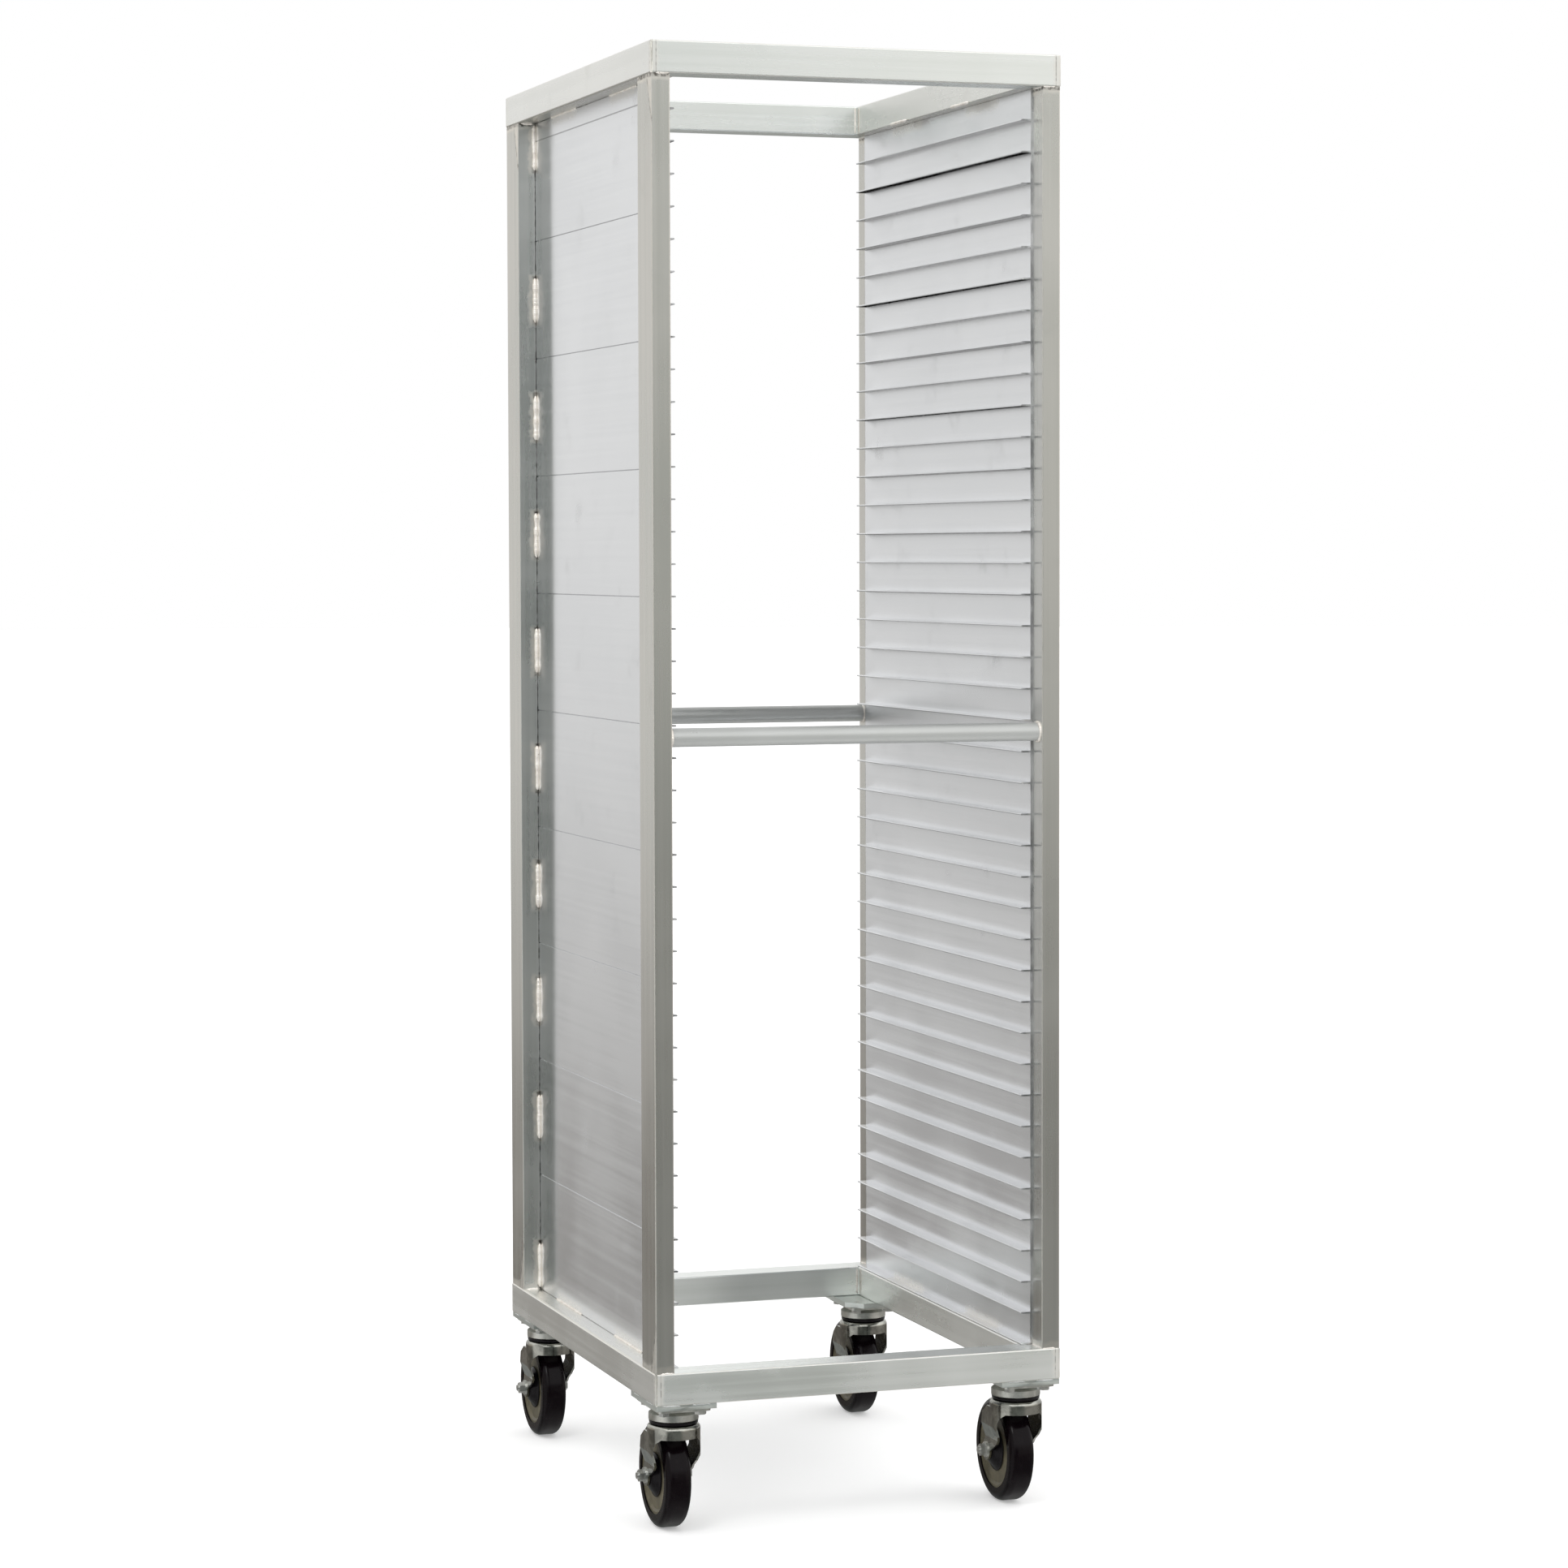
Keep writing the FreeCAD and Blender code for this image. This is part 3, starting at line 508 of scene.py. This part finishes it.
def add_piece(name, mesh, look, body):
    """Turn a bmesh into a piece that rides on a body."""
    bmesh.ops.recalc_face_normals(mesh, faces=mesh.faces)
    data = bpy.data.meshes.new(name)
    mesh.to_mesh(data)
    mesh.free()
    data.materials.append(look)
    for face in data.polygons:
        face.use_smooth = True
    piece = bpy.data.objects.new(name, data)
    bpy.context.scene.collection.objects.link(piece)
    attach(piece, body)


# A bead's ripples are this far apart, and each is drawn with this many rings of this many points.
RIPPLE = 2.6 * MM
RIPPLE_STEPS = 4
BEAD_SIDES = 10


def add_bead(mesh, path, outward, radius, closed=False):
    """A weld bead along a path: overlapping crescent ripples, a little uneven.

    path is a list of points. outward is a matching list of unit vectors that point out of the joint.
    """
    rings = []
    travelled = 0.0
    total = sum((b - a).length for a, b in zip(path, path[1:]))
    for i, (point, out) in enumerate(zip(path, outward)):
        ahead = path[(i + 1) % len(path)] if closed or i + 1 < len(path) else point
        behind = path[i - 1] if closed or i > 0 else point
        along = (ahead - behind).normalized()
        side = along.cross(out).normalized()
        phase = travelled / RIPPLE
        swell = 0.90 + 0.10 * abs(math.sin(math.pi * phase))
        wander = noise.noise(point * 240.0) + 1.6 * noise.noise(point * 90.0)
        fade = 1.0
        if not closed:
            to_tip = max(0.0, min(travelled, total - travelled))
            fade = min(1.0, math.sqrt(to_tip / (1.6 * radius)) + 0.05)
        size = radius * swell * max(0.66, min(1.0, 0.86 + 0.20 * wander)) * fade
        ring = []
        for j in range(BEAD_SIDES):
            angle = 2 * math.pi * j / BEAD_SIDES
            crest = math.cos(angle) * 0.45 * RIPPLE * fade
            offset = out * math.cos(angle) * size + side * math.sin(angle) * size + along * crest
            ring.append(mesh.verts.new(point + offset))
        rings.append(ring)
        if i + 1 < len(path):
            travelled += (path[i + 1] - point).length
    pairs = list(zip(rings, rings[1:]))
    if closed:
        pairs.append((rings[-1], rings[0]))
    for first, second in pairs:
        for j in range(BEAD_SIDES):
            following = (j + 1) % BEAD_SIDES
            mesh.faces.new((first[j], first[following], second[following], second[j]))
    if not closed:
        mesh.faces.new(rings[0])
        mesh.faces.new(list(reversed(rings[-1])))


def straight_bead(mesh, start, end, out, radius):
    """A bead from one point to another, in a joint that opens towards out."""
    start = Vector(start)
    end = Vector(end)
    count = max(6, int((end - start).length / RIPPLE * RIPPLE_STEPS))
    path = [start.lerp(end, i / count) for i in range(count + 1)]
    add_bead(mesh, path, [Vector(out).normalized()] * len(path), radius)


def ring_bead(mesh, centre, axis, ring_radius, radius):
    """A bead all round a tube's end; the ripples climb the tube."""
    axis = Vector(axis)
    count = int(2 * math.pi * ring_radius / RIPPLE * RIPPLE_STEPS)
    path = []
    outward = []
    start = Vector((0, 0, 1))
    for i in range(count):
        spoke = Matrix.Rotation(2 * math.pi * i / count, 3, axis) @ start
        path.append(Vector(centre) + spoke * ring_radius)
        outward.append((spoke + axis * 0.8).normalized())
    add_bead(mesh, path, outward, radius, closed=True)


def turned(profile, axis_point, axis, steps=64):
    """A closed ring turned from a profile of (distance along the axis, radius) pairs."""
    mesh = bmesh.new()
    axis = Vector(axis)
    start = Vector((0, 1, 0)) if abs(axis.x) > 0.5 else Vector((1, 0, 0))
    loops = []
    for i in range(steps):
        spoke = Matrix.Rotation(2 * math.pi * i / steps, 3, axis) @ start
        loops.append([mesh.verts.new(Vector(axis_point) + axis * along + spoke * radius)
                      for along, radius in profile])
    for first, second in zip(loops, loops[1:] + loops[:1]):
        for j in range(len(profile)):
            following = (j + 1) % len(profile)
            mesh.faces.new((first[j], first[following], second[following], second[j]))
    return mesh


# ------------------------------------------------------------------ welds on the frame

# The beads' radii.
CORNER_BEAD = 2.3 * MM
INNER_CORNER_BEAD = 1.5 * MM
CAP_BEAD = 2.3 * MM
FILLET_BEAD = 2.4 * MM
STITCH_BEAD = 3.4 * MM
RAIL_BEAD = 1.8 * MM
BAR_BEAD = 2.4 * MM
PLATE_BEAD = 1.2 * MM

# A corner bead runs this far in from the frame's outer corner.
NOTCH = 2.5 * MM

# Stitches stand out of their joints this far, and the ones on the uprights wander up or down.
STITCH_OUT = 1.1 * MM
RAIL_STITCH_OUT = 0.4 * MM
STITCH_WANDER = 4 * MM

# The inner stitches, as shares of the depth behind the rack's middle.
INNER_STITCHES = (0.185, -0.15)

# The corner plates' stitches, as shares of a plate's side, and their lengths along y and x.
PLATE_STITCHES = (0.25, 0.75)
PLATE_STITCH_DEEP = 26 * MM
PLATE_STITCH_WIDE = 22 * MM


def frame_corner_welds():
    """The upright beads that close the mitres, outside and inside the frame corners."""
    mesh = bmesh.new()
    for low, high in (BOTTOM, TOP):
        for sx in (-1, 1):
            for sy, face in ((-1, FRONT), (1, REAR)):
                out = (sx, sy, 0)
                outer = (sx * (HALF_WIDTH - NOTCH), face - sy * NOTCH)
                inner = (sx * (HALF_WIDTH - RAIL_DEPTH), face - sy * RAIL_DEPTH)
                straight_bead(mesh, (*outer, low + 1 * MM), (*outer, high - 1 * MM), out, CORNER_BEAD)
                straight_bead(mesh, (*inner, low + 2 * MM), (*inner, high - 2 * MM),
                              (-sx, -sy, 0), INNER_CORNER_BEAD)
    add_piece("frame_corner_welds", mesh, LOOKS["weld"], "frame")


def upright_end_welds():
    """Beads all round the foot and the head of each upright."""
    mesh = bmesh.new()
    inset = CAP_BEAD + 0.1 * MM
    for level, rise in ((BOTTOM[1], 1), (TOP[0], -1)):
        for sx in (-1, 1):
            rim_x = sx * (HALF_WIDTH - inset)
            inner_x = sx * SEAT
            for sy, face in ((-1, FRONT), (1, REAR)):
                back = face - sy * POST_DEPTH
                rim_y = face - sy * inset
                z = level - rise * 0.1 * MM
                rim = (rim_x, rim_y, z)
                straight_bead(mesh, rim, (rim_x, back, z), (sx, 0, rise * 0.3), CAP_BEAD)
                straight_bead(mesh, rim, (inner_x, rim_y, z), (0, sy, rise * 0.3), CAP_BEAD)
                straight_bead(mesh, (inner_x, face - sy * 3 * MM, z),
                              (inner_x, face - sy * 30 * MM, z), (-sx, 0, rise), FILLET_BEAD)
                straight_bead(mesh, (rim_x, back, z), (inner_x + sx * 3 * MM, back, z),
                              (0, -sy, rise), FILLET_BEAD)
    add_piece("upright_end_welds", mesh, LOOKS["weld"], "frame")


def side_stitches(side_name, sx):
    """Stitch welds that hold the planks to the uprights and to the side rails."""
    mesh = bmesh.new()
    x = sx * (SEAT + STITCH_OUT)
    for sy, face in ((-1, FRONT), (1, REAR)):
        y = face - sy * (POST_DEPTH + STITCH_OUT)
        for level in range(PLANKS):
            middle = BOTTOM[1] + (level + 0.5) * PLANK_HEIGHT
            if level == 0:
                middle -= END_SHIFT
            elif level == PLANKS - 1:
                middle += END_SHIFT
            else:
                middle += STITCH_WANDER * noise.noise(Vector((sx * 3.1, sy * 2.3, level * 1.7)))
            straight_bead(mesh, (x, y, middle - STITCH_LENGTH / 2),
                          (x, y, middle + STITCH_LENGTH / 2), (sx, -sy, 0), STITCH_BEAD)
    x = sx * (SEAT + RAIL_STITCH_OUT)
    for level, rise in ((BOTTOM[1], 1), (TOP[0], -1)):
        z = level + rise * RAIL_STITCH_OUT
        for share in RAIL_STITCHES:
            middle = MIDDLE + share * (REAR - FRONT)
            straight_bead(mesh, (x, middle - RAIL_STITCH_LENGTH / 2, z),
                          (x, middle + RAIL_STITCH_LENGTH / 2, z), (sx, 0, rise), RAIL_BEAD)
    add_piece(side_name + "_side_stitches", mesh, LOOKS["weld"], "frame")


def inner_stitches(side_name, sx):
    """Two short beads inside, between the top plank and the side rail above it."""
    mesh = bmesh.new()
    x = sx * (HALF_WIDTH - RAIL_DEPTH)
    z = TOP[0] + 0.5 * MM
    for share in INNER_STITCHES:
        middle = MIDDLE + share * (REAR - FRONT)
        straight_bead(mesh, (x, middle - STITCH_LENGTH / 2, z),
                      (x, middle + STITCH_LENGTH / 2, z), (-sx, 0, -1), FILLET_BEAD)
    add_piece(side_name + "_inner_stitches", mesh, LOOKS["weld"], "frame")


def cross_bar_welds():
    """A bead round each end of both cross bars."""
    mesh = bmesh.new()
    for name in ("front_cross_bar", "rear_cross_bar"):
        low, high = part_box(name)
        radius = (high.z - low.z) / 2
        for x, inward in ((low.x, 1), (high.x, -1)):
            centre = (x + inward * 0.8 * MM, (low.y + high.y) / 2, (low.z + high.z) / 2)
            ring_bead(mesh, centre, (inward, 0, 0), radius, BAR_BEAD)
    add_piece("cross_bar_welds", mesh, LOOKS["weld"], "frame")


def corner_plate_welds():
    """Short beads along the outer edges of the plates under the frame corners."""
    mesh = bmesh.new()
    for corner in CORNERS:
        low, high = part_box("corner_plate_" + corner)
        outer_x = low.x if abs(low.x) > abs(high.x) else high.x
        outer_y = low.y if "front" in corner else high.y
        sx = math.copysign(1, outer_x)
        sy = -1 if "front" in corner else 1
        z = high.z - 0.6 * MM
        for share in PLATE_STITCHES:
            y = low.y + share * (high.y - low.y)
            x = low.x + share * (high.x - low.x)
            straight_bead(mesh, (outer_x, y - PLATE_STITCH_DEEP / 2, z),
                          (outer_x, y + PLATE_STITCH_DEEP / 2, z), (sx, 0, -1), PLATE_BEAD)
            straight_bead(mesh, (x - PLATE_STITCH_WIDE / 2, outer_y, z),
                          (x + PLATE_STITCH_WIDE / 2, outer_y, z), (0, sy, -1), PLATE_BEAD)
    add_piece("corner_plate_welds", mesh, LOOKS["grey_weld"], "frame")


frame_corner_welds()
upright_end_welds()
for side, sign in (("left", -1), ("right", 1)):
    side_stitches(side, sign)
for side, sign in (("left", -1), ("right", 1)):
    inner_stitches(side, sign)
cross_bar_welds()
corner_plate_welds()


# ------------------------------------------------------------------ caster details

# A race seal starts just above the fork, and laps into the race.
SEAL_GAP = 0.05 * MM
SEAL_LAP = 1.2 * MM
SEAL_BORE = 20 * MM

# A hub cover's outline in millimetres: distance beyond the end of the hub, and radius.
HUB_COVER = ((1.2, 5), (1.3, 12.5), (-1, 17), (-5, 22.5), (-6.6, 26), (-7.6, 27), (-8.2, 26),
             (-7.0, 22), (-2.4, 16.4), (0.3, 13), (0.3, 5))


def caster_details(corner):
    """The grease seal in the ball race and the two covers beside the hub."""
    plate_low, plate_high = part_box("caster_plate_" + corner)
    core_low, core_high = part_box("wheel_core_" + corner)
    fork_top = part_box("fork_" + corner)[1].z
    swivel = Vector(((plate_low.x + plate_high.x) / 2, (plate_low.y + plate_high.y) / 2, 0))
    low = fork_top + SEAL_GAP
    high = plate_low.z + SEAL_LAP
    outline = ((low, SEAL_BORE), (low, 27.6 * MM), (low + 1.0 * MM, 29.2 * MM), (high, 29.6 * MM),
               (high, 28.0 * MM), (low + 1.6 * MM, SEAL_BORE))
    seal = turned(outline, swivel, (0, 0, 1))
    add_piece("race_seal_" + corner, seal, LOOKS["cover"], "swivel_" + corner)
    hub = (core_low + core_high) / 2
    face = (core_high.x - core_low.x) / 2
    for side_name, sx in (("left", -1), ("right", 1)):
        profile = [(sx * (face + along * MM), radius * MM) for along, radius in HUB_COVER]
        cover = turned(profile, hub, (1, 0, 0))
        add_piece(f"hub_cover_{side_name}_{corner}", cover, LOOKS["cover"], "wheel_" + corner)


for corner_name in CORNERS:
    caster_details(corner_name)


# ------------------------------------------------------------------ floor, light and camera

FLOOR_RADIUS = 60.0
FLOOR_GLOW = 0.32


def pale_floor():
    """A plain white floor, slightly self-lit so that it stays even out to the horizon."""
    mesh = bmesh.new()
    bmesh.ops.create_circle(mesh, cap_ends=True, segments=96, radius=FLOOR_RADIUS)
    look = Look("pale_floor", Specular_IOR_Level=0.0, Emission_Strength=FLOOR_GLOW)
    look.shader.inputs["Emission Color"].default_value = (1.0, 1.0, 1.0, 1.0)
    patch = look.noise(1.5, detail=3.0)
    colour = look.blend(look.fade(patch, 0.3, 0.7), (0.80, 0.80, 0.80), (0.83, 0.83, 0.83))
    look.finish(colour, look.fade(patch, 0.3, 0.7, 0.7, 0.8))
    data = bpy.data.meshes.new("pale_floor")
    mesh.to_mesh(data)
    mesh.free()
    data.materials.append(look.material)
    floor = bpy.data.objects.new("pale_floor", data)
    floor.location.z = -0.2 * MM
    floor.visible_glossy = False
    bpy.context.scene.collection.objects.link(floor)


def softbox(name, place, target, size, power):
    """A square lamp that looks at a target."""
    light = bpy.data.lights.new(name, "AREA")
    light.shape = "SQUARE"
    light.size = size
    light.energy = power
    lamp = bpy.data.objects.new(name, light)
    lamp.location = place
    lamp.rotation_euler = (Vector(target) - Vector(place)).to_track_quat("-Z", "Y").to_euler()
    bpy.context.scene.collection.objects.link(lamp)


def mirrored_room(room):
    """How bright the room is in each direction: bright above, dim near the floor."""
    # In front of the rack it is dim, with lighter walls at the right and the far left.
    front = room.blend(room.fade(room.x, 0.15, 0.45), (0.10, 0.13, 0.13), (0.97, 0.93, 0.87))
    front = room.blend(room.fade(room.x, -0.30, -0.50), front, (0.62, 0.62, 0.61))
    front = room.blend(room.fade(room.z, 0.08, 0.32), front, (1.55, 1.55, 1.55))
    low = room.blend(room.fade(room.x, 0.22, 0.45), (0.14, 0.15, 0.14), (0.38, 0.36, 0.34))
    front = room.blend(room.fade(room.z, 0.03, -0.15), front, low)
    # Behind it the wall is light, and warm at the left.
    back = room.blend(room.fade(room.x, -0.85, -0.35), (0.58, 0.52, 0.46), (0.86, 0.86, 0.85))
    back = room.blend(room.fade(room.z, 0.15, 0.60), back, (1.15, 1.15, 1.15))
    back = room.blend(room.fade(room.z, -0.03, -0.18), back, (0.21, 0.19, 0.17))
    # Below are a dim band and the floor, and above is the ceiling.
    colour = room.blend(room.fade(room.y, -0.20, 0.60), front, back)
    colour = room.blend(room.fade(room.z, -0.17, -0.30), colour, (0.27, 0.28, 0.27))
    colour = room.blend(room.fade(room.z, -0.60, -0.90), colour, (0.80, 0.80, 0.79))
    colour = room.blend(room.fade(room.z, 0.70, 0.95), colour, (0.92, 0.92, 0.92))
    # A light wall stands at the left.
    beside = room.fade(room.math("ABSOLUTE", room.math("ADD", room.y, 0.22)), 0.55, 0.40)
    beside = room.math("MULTIPLY", beside, room.fade(room.x, -0.60, -0.80))
    return room.blend(beside, colour, (0.86, 0.86, 0.85))


def studio_world():
    """A white background, with the room that the metal mirrors in place of it."""
    world = bpy.data.worlds.new("studio")
    bpy.context.scene.world = world
    world.use_nodes = True
    room = Graph(world.node_tree, "Generated")
    mirrored = room.tree.nodes["Background"]
    room.feed(mirrored.inputs["Color"], mirrored_room(room))
    white = room.node("ShaderNodeBackground")
    white.inputs["Color"].default_value = (1.0, 1.0, 1.0, 1.0)
    choice = room.node("ShaderNodeMixShader")
    room.feed(choice.inputs[0], room.node("ShaderNodeLightPath").outputs["Is Camera Ray"])
    room.tree.links.new(mirrored.outputs[0], choice.inputs[1])
    room.tree.links.new(white.outputs[0], choice.inputs[2])
    surface = room.tree.nodes["World Output"].inputs["Surface"]
    room.tree.links.new(choice.outputs[0], surface)


def camera():
    """Seen from the front and a little to the left, from a bit above half the rack's height."""
    data = bpy.data.cameras.new("camera")
    data.sensor_width = 36.0
    data.lens = 95.6
    data.shift_y = -0.025
    data.clip_end = 200.0
    made = bpy.data.objects.new("camera", data)
    yaw = math.radians(-18.53)
    pitch = math.radians(90 - 2.642)
    roll = math.radians(-0.136)
    turn = Matrix.Rotation(yaw, 4, "Z") @ Matrix.Rotation(pitch, 4, "X") @ Matrix.Rotation(roll, 4, "Z")
    made.matrix_world = Matrix.Translation((-1.657, -5.0121, 1.1683)) @ turn
    bpy.context.scene.collection.objects.link(made)
    bpy.context.scene.camera = made


pale_floor()
studio_world()
centre = (cad_low + cad_high) / 2
softbox("key", (-2.4, -2.6, 3.6), centre, 1.2, 30)
camera()
bpy.context.scene.view_settings.view_transform = "Standard"
